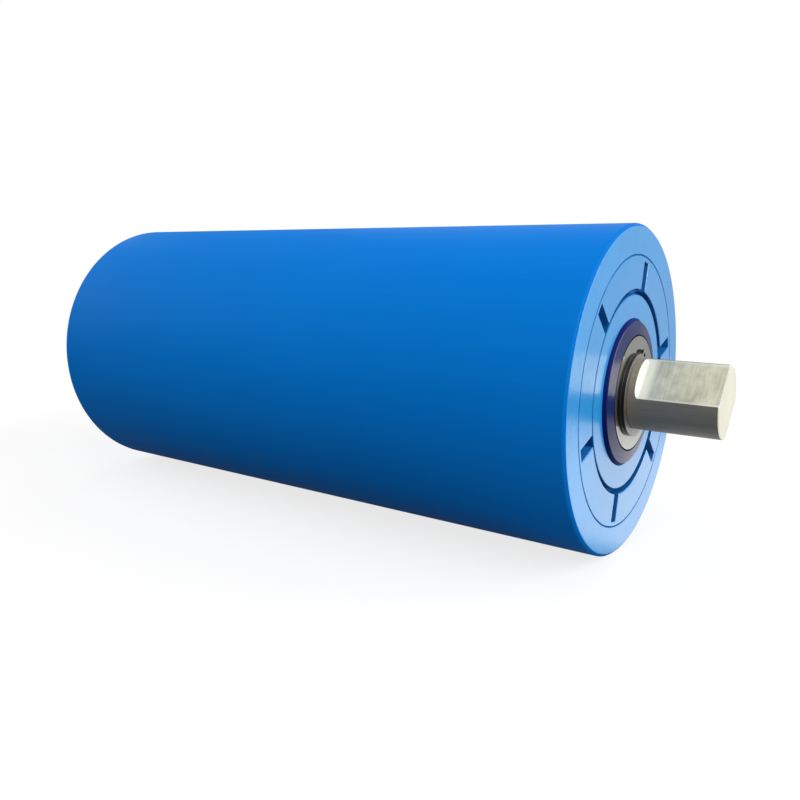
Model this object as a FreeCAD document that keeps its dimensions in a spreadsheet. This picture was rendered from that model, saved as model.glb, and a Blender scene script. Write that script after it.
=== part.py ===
import FreeCAD, Part
import math
import operator
import os
import types
import Sketcher

# Conveyor idler roll: a polymer tube on two sealed ball bearings round a fixed steel shaft.
# X is the roll axis, with +X towards the right end, and Z is up. The origin is the middle of the roll.
# Both ends hold the same pieces. Each is drawn at the right end, and the left one is turned half round Z.

driving = {
    # shell
    "roll_diameter": 140,
    "roll_length": 300,
    "shell_wall": 12.7,
    "shell_step": 1.3,
    "shell_edge": 1.2,
    # shaft
    "shaft_diameter": 30,
    "shaft_shoulder": 6.5,
    "shaft_edge": 0.4,
    "flat_width": 22,
    "flat_length": 32.5,
    "flat_root": 2,
    "flat_tilt": 45,
    # end cap
    "cap_depth": 36,
    "cap_face": 8,
    "cap_rim": 4,
    "cap_edge": 0.3,
    "hub_wall": 6,
    "hub_set_back": 0.7,
    "hub_bevel": 0.4,
    "hub_tail": 0.5,
    "groove_width": 2.1,
    "groove_depth": 4.5,
    "slot_count": 6,
    "slot_length": 11.9,
    "slot_width": 5.2,
    "slot_margin": 2,
    "slot_turn": 47,
    "rib_count": 12,
    "rib_thickness": 3,
    "rib_root": 1,
    "rib_rise": 10,
    # bearing
    "bearing_diameter": 62,
    "bearing_width": 16,
    "bearing_depth": 9,
    "bearing_stop": 4,
    "ring_edge": 1,
    "ball_diameter": 9.525,
    "ball_count": 9,
    "ball_clearance": 0.1,
    "race_shoulder": 3,
    "shield_thickness": 0.5,
    "shield_depth": 1,
    "shield_seat": 1,
    "shield_lip": 0.4,
    "shield_clearance": 0.4,
    "cage_thickness": 1,
    "cage_width": 4,
    "cage_clearance": 0.15,
    "rivet_diameter": 1.4,
    "rivet_head": 2.2,
    "rivet_head_height": 0.6,
    "rivet_clearance": 0.05,
    # seals
    "seal_stand": 2,
    "seal_fall": 1.2,
    "seal_taper": 1,
    "labyrinth_wall": 2.6,
    "labyrinth_face": 2.5,
    "labyrinth_fin": 1.1,
    "labyrinth_gap": 0.8,
    "labyrinth_flange": 1.5,
    "labyrinth_sleeve": 2.5,
    "flange_clearance": 0.7,
    "cover_thickness": 1,
    "cover_rim": 2.5,
    "cover_edge": 0.15,
    "cover_clearance": 0.4,
    "back_seal_width": 5,
    "back_seal_wall": 2.5,
    "back_seal_web": 1.5,
    "back_seal_lip": 1,
    "back_seal_slope": 1.5,
    "back_seal_clearance": 0.3,
    "back_seal_gap": 2.5,
    # retaining rings
    "clip_thickness": 1.5,
    "clip_groove_depth": 0.7,
    "clip_groove_play": 0.1,
    "clip_wide": 4,
    "clip_narrow": 2.4,
    "clip_lug": 4.6,
    "clip_lug_angle": 15,
    "clip_hole": 2,
    "clip_opening": 3.4,
    "clip_turn": 35,
}

doc = FreeCAD.newDocument("idler_roll")
sheet = doc.addObject("Spreadsheet::Sheet", "sizes")
pieces = []

axis_x = FreeCAD.Vector(1, 0, 0)
axis_y = FreeCAD.Vector(0, 1, 0)
axis_z = FreeCAD.Vector(0, 0, 1)
ends = {
    "right": FreeCAD.Placement(),
    "left": FreeCAD.Placement(FreeCAD.Vector(), FreeCAD.Rotation(axis_z, 180)),
}


def combine(sign, work):
    def method(self, other):
        if not isinstance(other, Size):
            other = Size(other, str(other))
        return Size(work(self.value, other.value), f"({self.formula} {sign} {other.formula})")
    return method


class Size:
    """A number and the sheet formula that it comes from."""

    def __init__(self, value, formula):
        self.value = value
        self.formula = formula

    __add__ = combine("+", operator.add)
    __sub__ = combine("-", operator.sub)
    __mul__ = combine("*", operator.mul)
    __truediv__ = combine("/", operator.truediv)

    def along(self, angle, function):
        """This length turned through an angle in degrees, seen along sin or cos."""
        share = {"sin": math.sin, "cos": math.cos}[function](math.radians(angle.value))
        return Size(self.value * share, f"({self.formula} * {function}({angle.formula}))")


def fill_sheet():
    """One row for each driving size: its name, and its number under that name."""
    sizes = types.SimpleNamespace()
    for row, (alias, number) in enumerate(driving.items(), 1):
        sheet.set(f"A{row}", alias)
        sheet.set(f"B{row}", str(number))
        sheet.setAlias(f"B{row}", alias)
        setattr(sizes, alias, Size(number, f"sizes.{alias}"))
    doc.recompute()
    return sizes


dim = fill_sheet()
nothing = Size(0, "0")

# Places along the roll, from its middle
roll_end = dim.roll_length / 2
flat_start = roll_end + dim.shaft_shoulder
shaft_end = flat_start + dim.flat_length
bearing_front = roll_end - dim.bearing_depth
bearing_mid = bearing_front - dim.bearing_width / 2
bearing_back = bearing_front - dim.bearing_width
hub_face = roll_end - dim.hub_set_back
back_seal_front = bearing_back - dim.back_seal_gap
back_seal_back = back_seal_front - dim.back_seal_width
hub_back = back_seal_back - dim.hub_tail
seal_front = roll_end + dim.seal_stand
cover_back = seal_front - dim.cover_thickness
clip_groove = dim.clip_thickness + dim.clip_groove_play

# Radii from the roll axis
roll_radius = dim.roll_diameter / 2
cap_radius = roll_radius - dim.shell_wall
groove_outer = cap_radius - dim.slot_margin - dim.slot_length
groove_inner = groove_outer - dim.groove_width
bearing_radius = dim.bearing_diameter / 2
stop_radius = bearing_radius - dim.bearing_stop
hub_outer = bearing_radius + dim.hub_wall
rim_inner = cap_radius - dim.cap_rim
shaft_radius = dim.shaft_diameter / 2
clip_seat = shaft_radius - dim.clip_groove_depth
pitch_radius = (shaft_radius + bearing_radius) / 2
ball_radius = dim.ball_diameter / 2
outer_shoulder = pitch_radius + dim.race_shoulder
inner_shoulder = pitch_radius - dim.race_shoulder
shield_radius = outer_shoulder + dim.shield_seat

# Radii of the labyrinth, from the mouth of the cap inwards, a running gap between neighbours
mouth_inner = bearing_radius - dim.labyrinth_wall
outer_fin_top = mouth_inner - dim.labyrinth_gap
outer_fin_low = outer_fin_top - dim.labyrinth_fin
ring_fin_top = outer_fin_low - dim.labyrinth_gap
ring_fin_low = ring_fin_top - dim.labyrinth_fin
cover_radius = ring_fin_low - dim.cover_clearance
cover_rim_inner = cover_radius - dim.cover_thickness
inner_fin_top = cover_rim_inner - dim.labyrinth_gap
inner_fin_low = inner_fin_top - dim.labyrinth_fin
sleeve_radius = shaft_radius + dim.labyrinth_sleeve


def new_body(name, place=FreeCAD.Placement()):
    body = doc.addObject("PartDesign::Body", name)
    body.Label = name
    body.Placement = place
    pieces.append(body)
    return body


def origin_part(body, role):
    return next(part for part in body.Origin.OriginFeatures if part.Role == role)


def new_sketch(body, plane):
    sketch = body.newObject("Sketcher::SketchObject", body.Name + "_sketch")
    sketch.AttachmentSupport = [(origin_part(body, plane), "")]
    sketch.MapMode = "FlatFace"
    return sketch


def tie(sketch, constraint, size):
    number = sketch.addConstraint(constraint)
    sketch.setExpression(f"Constraints[{number}]", size.formula)


def hold(sketch, kind, axis, line, size):
    """Hold the start of a line at a distance from an axis of the sketch, on either side of it."""
    if size.value > 0:
        tie(sketch, Sketcher.Constraint(kind, -1, 1, line, 1, size.value), size)
    elif size.value < 0:
        tie(sketch, Sketcher.Constraint(kind, line, 1, -1, 1, -size.value), size * -1)
    else:
        sketch.addConstraint(Sketcher.Constraint("PointOnObject", line, 1, axis))


def draw_outline(sketch, points):
    """A closed outline of straight edges, with each corner tied to its two sizes."""
    corners = [FreeCAD.Vector(across.value, up.value, 0) for across, up in points]
    first = sketch.GeometryCount
    for start, end in zip(corners, corners[1:] + corners[:1]):
        sketch.addGeometry(Part.LineSegment(start, end), False)
    for step, (across, up) in enumerate(points):
        line = first + step
        following = first + (step + 1) % len(points)
        sketch.addConstraint(Sketcher.Constraint("Coincident", line, 2, following, 1))
        hold(sketch, "DistanceX", -2, line, across)
        hold(sketch, "DistanceY", -1, line, up)


def round_corner(sketch, line, size):
    """Round the corner where a line of the sketch starts, with a radius tied to the sheet."""
    sketch.fillet(line, 1, size.value, True, True)
    arcs = [number for number, edge in enumerate(sketch.Geometry) if isinstance(edge, Part.ArcOfCircle)]
    tie(sketch, Sketcher.Constraint("Radius", arcs[-1], size.value), size)


def turn_outline(body, points):
    """Turn an outline of places along the roll and radii right round the roll axis."""
    sketch = new_sketch(body, "XY_Plane")
    draw_outline(sketch, points)
    turned = body.newObject("PartDesign::Revolution", body.Name + "_turned")
    turned.Profile = sketch
    turned.ReferenceAxis = (sketch, ["H_Axis"])
    turned.Angle = 360
    return turned


def cut_race(body):
    """Cut the ball track of a bearing ring, a little freer than the ball."""
    sketch = new_sketch(body, "XY_Plane")
    track_radius = ball_radius + dim.ball_clearance
    centre = FreeCAD.Vector(bearing_mid.value, pitch_radius.value, 0)
    circle = sketch.addGeometry(Part.Circle(centre, axis_z, track_radius.value), False)
    tie(sketch, Sketcher.Constraint("DistanceX", -1, 1, circle, 3, bearing_mid.value), bearing_mid)
    tie(sketch, Sketcher.Constraint("DistanceY", -1, 1, circle, 3, pitch_radius.value), pitch_radius)
    tie(sketch, Sketcher.Constraint("Radius", circle, track_radius.value), track_radius)
    track = body.newObject("PartDesign::Groove", body.Name + "_track")
    track.Profile = sketch
    track.ReferenceAxis = (sketch, ["H_Axis"])
    track.Angle = 360


def mirror_ends(body, features):
    """Repeat what was drawn at the right end at the left end."""
    mirrored = body.newObject("PartDesign::Mirrored", body.Name + "_ends")
    mirrored.Originals = features
    mirrored.MirrorPlane = (origin_part(body, "YZ_Plane"), [""])
    body.Tip = mirrored


def repeat_round(body, feature, count):
    pattern = body.newObject("PartDesign::PolarPattern", feature.Name + "_round")
    pattern.Originals = [feature]
    pattern.Axis = (origin_part(body, "X_Axis"), [""])
    pattern.Angle = 360
    pattern.Occurrences = count.value
    pattern.setExpression("Occurrences", count.formula)
    body.Tip = pattern


def primitive(kind, name, position, **sizes):
    """A Part primitive with its axis along the roll, its sizes and its place tied to the sheet."""
    solid = doc.addObject(kind, name)
    centre = FreeCAD.Vector(*[size.value for size in position])
    solid.Placement = FreeCAD.Placement(centre, FreeCAD.Rotation(axis_y, 90))
    for letter, size in zip("xyz", position):
        solid.setExpression(f"Placement.Base.{letter}", size.formula)
    for label, size in sizes.items():
        solid.setExpression(label, size.formula)
    return solid


def disc(name, start, thickness, radius, across=nothing, up=nothing):
    return primitive("Part::Cylinder", name, (start, across, up), Radius=radius, Height=thickness)


def join(name, solids):
    joined = doc.addObject("Part::MultiFuse", name)
    joined.Shapes = solids
    return joined


def cut(name, base, tool):
    result = doc.addObject("Part::Cut", name)
    result.Base = base
    result.Tool = tool
    return result


def finish_solid(result, name, place):
    result.Label = name
    result.Placement = place
    pieces.append(result)


def make_shell():
    body = new_body("shell_tube")
    bore = cap_radius - dim.shell_step
    seat = roll_end - dim.cap_depth
    half = turn_outline(body, [
        (nothing, bore),
        (nothing, roll_radius),
        (roll_end - dim.shell_edge, roll_radius),
        (roll_end, roll_radius - dim.shell_edge),
        (roll_end, cap_radius),
        (seat, cap_radius),
        (seat, bore),
    ])
    mirror_ends(body, [half])


def make_shaft():
    tilt = FreeCAD.Rotation(axis_x, -dim.flat_tilt.value)
    body = new_body("shaft", FreeCAD.Placement(FreeCAD.Vector(), tilt))
    half = turn_outline(body, [
        (nothing, nothing),
        (nothing, shaft_radius),
        (bearing_back - clip_groove, shaft_radius),
        (bearing_back - clip_groove, clip_seat),
        (bearing_back, clip_seat),
        (bearing_back, shaft_radius),
        (seal_front, shaft_radius),
        (seal_front, clip_seat),
        (seal_front + clip_groove, clip_seat),
        (seal_front + clip_groove, shaft_radius),
        (shaft_end - dim.shaft_edge, shaft_radius),
        (shaft_end, shaft_radius - dim.shaft_edge),
        (shaft_end, nothing),
    ])
    sketch = new_sketch(body, "XY_Plane")
    flat = dim.flat_width / 2
    clear = shaft_radius + dim.flat_root
    past = shaft_end + dim.shaft_edge
    for side in (1, -1):
        root = sketch.GeometryCount
        draw_outline(sketch, [
            (flat_start, flat * side),
            (past, flat * side),
            (past, clear * side),
            (flat_start, clear * side),
        ])
        round_corner(sketch, root, dim.flat_root)
    flats = body.newObject("PartDesign::Pocket", "shaft_flats")
    flats.Profile = sketch
    flats.SideType = "Symmetric"
    flats.setExpression("Length", (clear * 2).formula)
    mirror_ends(body, [half, flats])


def make_end_cap(name, place):
    """Moulded bearing housing: a slotted face, a hub with the bearing seat, and ribs behind the face."""
    body = new_body(name, place)
    groove_floor = roll_end - dim.groove_depth
    face_back = roll_end - dim.cap_face
    turn_outline(body, [
        (roll_end, cap_radius - dim.cap_edge),
        (roll_end - dim.cap_edge, cap_radius),
        (roll_end - dim.cap_depth, cap_radius),
        (roll_end - dim.cap_depth, rim_inner),
        (face_back, rim_inner),
        (face_back, hub_outer),
        (hub_back, hub_outer),
        (hub_back, stop_radius),
        (bearing_back, stop_radius),
        (bearing_back, bearing_radius),
        (hub_face - dim.hub_bevel, bearing_radius),
        (hub_face, bearing_radius + dim.hub_bevel),
        (hub_face, groove_inner),
        (groove_floor, groove_inner),
        (groove_floor, groove_outer),
        (roll_end, groove_outer),
    ])

    slot_sketch = new_sketch(body, "YZ_Plane")
    turn = FreeCAD.Rotation(axis_z, dim.slot_turn.value)
    slot_sketch.AttachmentOffset = FreeCAD.Placement(FreeCAD.Vector(0, 0, roll_end.value), turn)
    slot_sketch.setExpression("AttachmentOffset.Base.z", roll_end.formula)
    slot_sketch.setExpression("AttachmentOffset.Rotation.Angle", dim.slot_turn.formula)
    half_width = dim.slot_width / 2
    slot_start = groove_outer - dim.groove_width / 2
    slot_stop = groove_outer + dim.slot_length
    draw_outline(slot_sketch, [
        (half_width * -1, slot_start),
        (half_width, slot_start),
        (half_width, slot_stop),
        (half_width * -1, slot_stop),
    ])
    slot = body.newObject("PartDesign::Pocket", name + "_slot")
    slot.Profile = slot_sketch
    slot.setExpression("Length", dim.groove_depth.formula)
    repeat_round(body, slot, dim.slot_count)

    rib_sketch = new_sketch(body, "XY_Plane")
    rib_front = face_back + dim.rib_root
    draw_outline(rib_sketch, [
        (rib_front, hub_outer - dim.rib_root),
        (hub_back, hub_outer - dim.rib_root),
        (hub_back, hub_outer),
        (hub_back + dim.rib_rise, rim_inner),
        (hub_back + dim.rib_rise, rim_inner + dim.rib_root),
        (rib_front, rim_inner + dim.rib_root),
    ])
    rib = body.newObject("PartDesign::Pad", name + "_rib")
    rib.Profile = rib_sketch
    rib.SideType = "Symmetric"
    rib.setExpression("Length", dim.rib_thickness.formula)
    repeat_round(body, rib, dim.rib_count)


def make_bearing_rings(end, place):
    outer = new_body(f"bearing_outer_ring_{end}", place)
    turn_outline(outer, [
        (bearing_front - dim.ring_edge, bearing_radius),
        (bearing_front, bearing_radius - dim.ring_edge),
        (bearing_front, shield_radius),
        (bearing_front - dim.shield_depth, shield_radius),
        (bearing_front - dim.shield_depth, outer_shoulder),
        (bearing_back + dim.shield_depth, outer_shoulder),
        (bearing_back + dim.shield_depth, shield_radius),
        (bearing_back, shield_radius),
        (bearing_back, bearing_radius - dim.ring_edge),
        (bearing_back + dim.ring_edge, bearing_radius),
    ])
    cut_race(outer)
    inner = new_body(f"bearing_inner_ring_{end}", place)
    turn_outline(inner, [
        (bearing_front - dim.ring_edge, shaft_radius),
        (bearing_front, shaft_radius + dim.ring_edge),
        (bearing_front, inner_shoulder),
        (bearing_back, inner_shoulder),
        (bearing_back, shaft_radius + dim.ring_edge),
        (bearing_back + dim.ring_edge, shaft_radius),
    ])
    cut_race(inner)


def make_shield(name, place, side):
    """Pressed bearing shield against the step of the outer ring, its lip turned in towards the balls."""
    seat = dim.bearing_width / 2 - dim.shield_depth
    low = inner_shoulder + dim.shield_clearance
    lip_top = low + dim.shield_thickness
    section = [
        (seat, shield_radius),
        (seat + dim.shield_thickness, shield_radius),
        (seat + dim.shield_thickness, low),
        (seat - dim.shield_lip, low),
        (seat - dim.shield_lip, lip_top),
        (seat, lip_top),
    ]
    turn_outline(new_body(name, place), [(bearing_mid + out * side, radius) for out, radius in section])


def round_pitch(step):
    """Height and side of a place on the ball circle, counted in balls from the top."""
    angle = Size(360 * step, str(360 * step)) / dim.ball_count
    return pitch_radius.along(angle, "sin"), pitch_radius.along(angle, "cos")


def make_cage_half(name, place, side):
    """Half of a pressed cage: a flat ring with a cup round each ball, open at the ball's pocket."""
    pocket = ball_radius + dim.cage_clearance
    cup = pocket + dim.cage_thickness
    inner = pitch_radius - dim.cage_width / 2
    outer = pitch_radius + dim.cage_width / 2
    start = bearing_mid if side > 0 else bearing_mid - cup
    web_start = bearing_mid if side > 0 else bearing_mid - dim.cage_thickness
    hole = dim.rivet_diameter / 2 + dim.rivet_clearance
    cups = [disc(name + "_web", web_start, dim.cage_thickness, outer)]
    voids = [disc(name + "_middle", start, cup, inner)]
    for ball in range(int(dim.ball_count.value)):
        centre = (bearing_mid, *round_pitch(ball))
        cups.append(primitive("Part::Sphere", name + "_cup", centre, Radius=cup))
        voids.append(primitive("Part::Sphere", name + "_pocket", centre, Radius=pocket))
        voids.append(disc(name + "_hole", start, cup, hole, *round_pitch(ball + 0.5)))
    kept = doc.addObject("Part::Common", name + "_kept")
    kept.Base = join(name + "_cups", cups)
    kept.Tool = disc(name + "_band", start, cup, outer)
    finish_solid(cut(name, kept, join(name + "_voids", voids)), name, place)


def make_rivets(name, place):
    """Cage rivets, each a shank through both halves with a head at either end."""
    shank_start = bearing_mid - dim.cage_thickness
    shank_end = bearing_mid + dim.cage_thickness
    rivets = []
    for ball in range(int(dim.ball_count.value)):
        spot = round_pitch(ball + 0.5)
        rivets.append(join(name + "_rivet", [
            disc(name + "_shank", shank_start, dim.cage_thickness * 2, dim.rivet_diameter / 2, *spot),
            disc(name + "_head", shank_end, dim.rivet_head_height, dim.rivet_head / 2, *spot),
            disc(name + "_head", shank_start - dim.rivet_head_height, dim.rivet_head_height,
                 dim.rivet_head / 2, *spot),
        ]))
    group = doc.addObject("Part::Compound", name)
    group.Links = rivets
    finish_solid(group, name, place)


def make_balls(end, place):
    for ball in range(int(dim.ball_count.value)):
        name = f"ball_{end}_{ball + 1}"
        solid = doc.addObject("Part::Sphere", name + "_sphere")
        solid.setExpression("Radius", ball_radius.formula)
        for letter, size in zip("xyz", (bearing_mid, *round_pitch(ball))):
            solid.setExpression(f"Placement.Base.{letter}", size.formula)
        seated = doc.addObject("Part::Compound", name)
        seated.Links = [solid]
        finish_solid(seated, name, place)


def make_labyrinth(end, place):
    """Two rings whose fins pass between each other: one turns with the cap, one stays on the shaft."""
    face_back = seal_front - dim.labyrinth_face
    flange_back = bearing_front + dim.flange_clearance
    flange_front = flange_back + dim.labyrinth_flange
    ring_tip = flange_front + dim.labyrinth_gap
    outer_tip = face_back - dim.labyrinth_gap
    inner_tip = cover_back - dim.labyrinth_gap
    turn_outline(new_body(f"labyrinth_cap_ring_{end}", place), [
        (bearing_front, mouth_inner),
        (bearing_front, bearing_radius),
        (hub_face, bearing_radius),
        (seal_front - dim.seal_fall, bearing_radius - dim.seal_taper),
        (seal_front, ring_fin_low),
        (ring_tip, ring_fin_low),
        (ring_tip, ring_fin_top),
        (face_back, ring_fin_top),
        (face_back, mouth_inner),
    ])
    turn_outline(new_body(f"labyrinth_shaft_ring_{end}", place), [
        (bearing_front, shaft_radius),
        (cover_back, shaft_radius),
        (cover_back, sleeve_radius),
        (flange_front, sleeve_radius),
        (flange_front, inner_fin_low),
        (inner_tip, inner_fin_low),
        (inner_tip, inner_fin_top),
        (flange_front, inner_fin_top),
        (flange_front, outer_fin_low),
        (outer_tip, outer_fin_low),
        (outer_tip, outer_fin_top),
        (flange_back, outer_fin_top),
        (flange_back, sleeve_radius),
        (bearing_front, sleeve_radius),
    ])


def make_dust_cover(name, place):
    rim_tip = cover_back - dim.cover_rim
    turn_outline(new_body(name, place), [
        (cover_back, shaft_radius),
        (seal_front, shaft_radius),
        (seal_front, cover_radius - dim.cover_edge),
        (seal_front - dim.cover_edge, cover_radius),
        (rim_tip, cover_radius),
        (rim_tip, cover_rim_inner),
        (cover_back, cover_rim_inner),
    ])


def make_back_seal(name, place):
    """Lip seal behind the bearing, pressed into the tail of the hub."""
    web_back = back_seal_front - dim.back_seal_web
    lip_edge = shaft_radius + dim.back_seal_clearance
    lip_root = lip_edge + dim.back_seal_slope
    wall_inner = stop_radius - dim.back_seal_wall
    turn_outline(new_body(name, place), [
        (back_seal_front, stop_radius),
        (back_seal_front, lip_root),
        (back_seal_back, lip_edge),
        (back_seal_back, lip_edge + dim.back_seal_lip),
        (web_back, lip_root + dim.back_seal_lip),
        (web_back, wall_inner),
        (back_seal_back, wall_inner),
        (back_seal_back, stop_radius),
    ])


def make_clip(name, place, start):
    """Sprung retaining ring: wide opposite its opening, with a drilled lug at each end."""
    thick = dim.clip_thickness
    lug_radius = dim.clip_lug / 2
    lug_place = clip_seat + lug_radius
    ring_radius = clip_seat + (dim.clip_wide + dim.clip_narrow) / 2
    ring_drop = (dim.clip_narrow - dim.clip_wide) / 2
    solids = [disc(name + "_ring", start, thick, ring_radius, nothing, ring_drop)]
    voids = [disc(name + "_seat", start, thick, clip_seat)]
    for side in (1, -1):
        spot = (lug_place.along(dim.clip_lug_angle * side, "sin"), lug_place.along(dim.clip_lug_angle, "cos"))
        solids.append(disc(name + "_lug", start, thick, lug_radius, *spot))
        voids.append(disc(name + "_hole", start, thick, dim.clip_hole / 2, *spot))
    opening = doc.addObject("Part::Box", name + "_opening")
    opening.setExpression("Length", thick.formula)
    opening.setExpression("Width", dim.clip_opening.formula)
    opening.setExpression("Height", (lug_place + lug_radius).formula)
    opening.setExpression("Placement.Base.x", start.formula)
    opening.setExpression("Placement.Base.y", (dim.clip_opening / -2).formula)
    voids.append(opening)
    turn = FreeCAD.Placement(FreeCAD.Vector(), FreeCAD.Rotation(axis_x, -dim.clip_turn.value))
    finish_solid(cut(name, join(name + "_solid", solids), join(name + "_voids", voids)), name, place * turn)


make_shell()
make_shaft()
for end, place in ends.items():
    make_end_cap(f"end_cap_{end}", place)
    make_bearing_rings(end, place)
    make_shield(f"bearing_shield_outer_{end}", place, 1)
    make_shield(f"bearing_shield_inner_{end}", place, -1)
    make_cage_half(f"cage_half_outer_{end}", place, 1)
    make_cage_half(f"cage_half_inner_{end}", place, -1)
    make_rivets(f"cage_rivets_{end}", place)
    make_balls(end, place)
    make_labyrinth(end, place)
    make_dust_cover(f"dust_cover_{end}", place)
    make_back_seal(f"back_seal_{end}", place)
    make_clip(f"outer_clip_{end}", place, seal_front)
    make_clip(f"inner_clip_{end}", place, bearing_back - dim.clip_thickness)

doc.recompute()
for item in doc.Objects:
    if "Invalid" in item.State or "Error" in item.State:
        raise RuntimeError(f"{item.Label} did not build: {item.State}")
for piece in pieces:
    if piece.Shape.isNull() or not piece.Shape.isValid() or not piece.Shape.Solids:
        raise RuntimeError(f"{piece.Label} has no sound shape")

os.makedirs("parts", exist_ok=True)
for piece in pieces:
    piece.Shape.exportStep(f"parts/{piece.Label}.step")
    print(piece.Label, len(piece.Shape.Solids), "solids", round(piece.Shape.Volume, 1), "cubic mm")
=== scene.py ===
import bmesh
import bpy
import numpy as np
from mathutils import Matrix, Vector


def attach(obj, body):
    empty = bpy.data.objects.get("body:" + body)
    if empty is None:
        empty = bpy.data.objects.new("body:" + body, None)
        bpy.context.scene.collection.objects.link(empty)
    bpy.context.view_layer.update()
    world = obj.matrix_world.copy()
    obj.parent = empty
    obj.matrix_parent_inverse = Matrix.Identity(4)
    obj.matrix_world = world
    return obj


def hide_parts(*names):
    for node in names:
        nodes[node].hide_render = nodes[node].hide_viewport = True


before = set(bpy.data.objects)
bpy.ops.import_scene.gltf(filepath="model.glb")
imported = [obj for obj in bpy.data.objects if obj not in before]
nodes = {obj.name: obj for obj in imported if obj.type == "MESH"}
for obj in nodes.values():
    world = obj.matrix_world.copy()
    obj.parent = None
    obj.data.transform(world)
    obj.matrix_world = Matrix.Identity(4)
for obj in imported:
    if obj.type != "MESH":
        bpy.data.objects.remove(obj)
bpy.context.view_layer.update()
ends = {"right": 1, "left": -1}  # the way each end faces along X, the roll's axis
perMillimetre = 0.001  # pieces are sized in millimetres, and the scene is in metres
perMetre = 1000
print("frame loaded,", len(nodes), "nodes")

# Camera of the photograph: a near view of the right end, a little above the roll
camera = {
    "place": (0.25055, -0.31793, 0.05942),
    "right": (0.82396, 0.56665, 0.0),
    "up": (-0.10924, 0.15884, 0.98124),
    "lens": 34.502,
    "sensor": 36.0,
    "nearest": 0.01,
}


def makeCamera(view):
    # the picture's right, its up and the cross product of both are the columns of the camera's turn
    data = bpy.data.cameras.new("photoCamera")
    data.lens = view["lens"]
    data.sensor_width = view["sensor"]
    data.clip_start = view["nearest"]
    eye = bpy.data.objects.new("photoCamera", data)
    right, up = Vector(view["right"]), Vector(view["up"])
    turn = Matrix((right, up, right.cross(up))).transposed().to_4x4()
    eye.matrix_world = Matrix.Translation(view["place"]) @ turn
    bpy.context.collection.objects.link(eye)
    bpy.context.scene.camera = eye


# Short ways to add nodes
def fillInputs(tree, node, inputs):
    # a socket is linked, and any other value is set on the input itself
    for key, value in inputs.items():
        if isinstance(value, bpy.types.NodeSocket):
            tree.links.new(value, node.inputs[key])
        else:
            node.inputs[key].default_value = value


def addNode(tree, kind, inputs=None, **settings):
    node = tree.nodes.new(kind)
    for key, value in settings.items():
        setattr(node, key, value)
    fillInputs(tree, node, inputs or {})
    return node


def addMath(tree, operation, first, second=0.0):
    return addNode(tree, "ShaderNodeMath", {0: first, 1: second}, operation=operation).outputs[0]


def addVectorMath(tree, operation, first, second=(0, 0, 0)):
    return addNode(tree, "ShaderNodeVectorMath", {0: first, 1: second}, operation=operation).outputs


def between(tree, factor, low, high, start=0.3, stop=0.7):
    # low before start, high past stop, and a straight run from one to the other
    inputs = {"Value": factor, "From Min": start, "From Max": stop, "To Min": low, "To Max": high}
    return addNode(tree, "ShaderNodeMapRange", inputs).outputs[0]


def mixValue(tree, factor, first, second):
    return addNode(tree, "ShaderNodeMix", {0: factor, 2: first, 3: second}).outputs[0]


def mixColour(tree, factor, first, second):
    inputs = {0: factor, 6: first, 7: second}
    return addNode(tree, "ShaderNodeMix", inputs, data_type="RGBA").outputs[2]


def grey(level):
    return (level, level, level, 1)


def weighted(tree, *parts):
    # the sum of patterns, each times its share
    total = None
    for pattern, share in parts:
        part = addMath(tree, "MULTIPLY", pattern, share)
        total = addMath(tree, "ADD", total, part) if total else part
    return total


# Pale floor under the roll, white surroundings, soft lamps over the front and past the right end, and weak
# ones behind, before the left end and past it. Sizes here are in metres.
studio = {
    "floorLevel": -0.0701, "floorReach": 6.0,
    # the floor's grey as it is seen, and as it lights the roll from below
    "floorWhite": 0.92, "floorBounce": 0.25,
    # the share of plain white at the roll, and the distances between which it grows to all
    "floorGlow": 0.78, "shadowReach": (0.25, 0.8),
    # in gloss: where the floor brightens behind the roll and past its ends, and its level elsewhere
    "glossFront": (-0.02, 0.01), "glossEnd": (0.143, 0.152), "glossDim": 0.22,
    # in gloss: the distances between which the floor fades, and the share that is left past them
    "glossReach": (0.26, 0.38), "glossFar": 0.42,
    # the room's light, then its level in gloss on the camera's side and behind the roll
    "roomLight": 0.135, "roomFront": 0.15, "roomBehind": 0.37,
    # the way that leads behind the roll, and the range of headings over which the room changes
    "roomBack": (0.45, 0.89, 0.0), "roomTurn": (-0.5, 0.5),
    # a lamp that isn't mirrored gives no highlight
    "lamps": {
        "overheadLamp": {"place": (-0.3, -0.55, 1.18), "size": (3.3, 2.05), "power": 16.0, "mirrored": True},
        "sideLamp": {"place": (1.3, 0.1, 0.7), "size": (2.3, 1.3), "power": 36.6, "mirrored": True},
        "backLamp": {"place": (-0.3, 1.3, 0.8), "size": (1.5, 1.5), "power": 5.0, "mirrored": True},
        "leftLamp": {"place": (-0.5, -0.5, 0.3), "size": (0.5, 0.5), "power": 0.5, "mirrored": False},
        "farEndLamp": {"place": (-1.3, 0.15, 0.25), "size": (1.0, 0.5), "power": 7.0, "mirrored": True},
    },
}


def straightRay(tree, ray):
    # a ray that goes from the camera to the floor or the room, also through something clear
    return addMath(tree, "MAXIMUM", ray["Is Camera Ray"], ray["Is Transmission Ray"])


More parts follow.
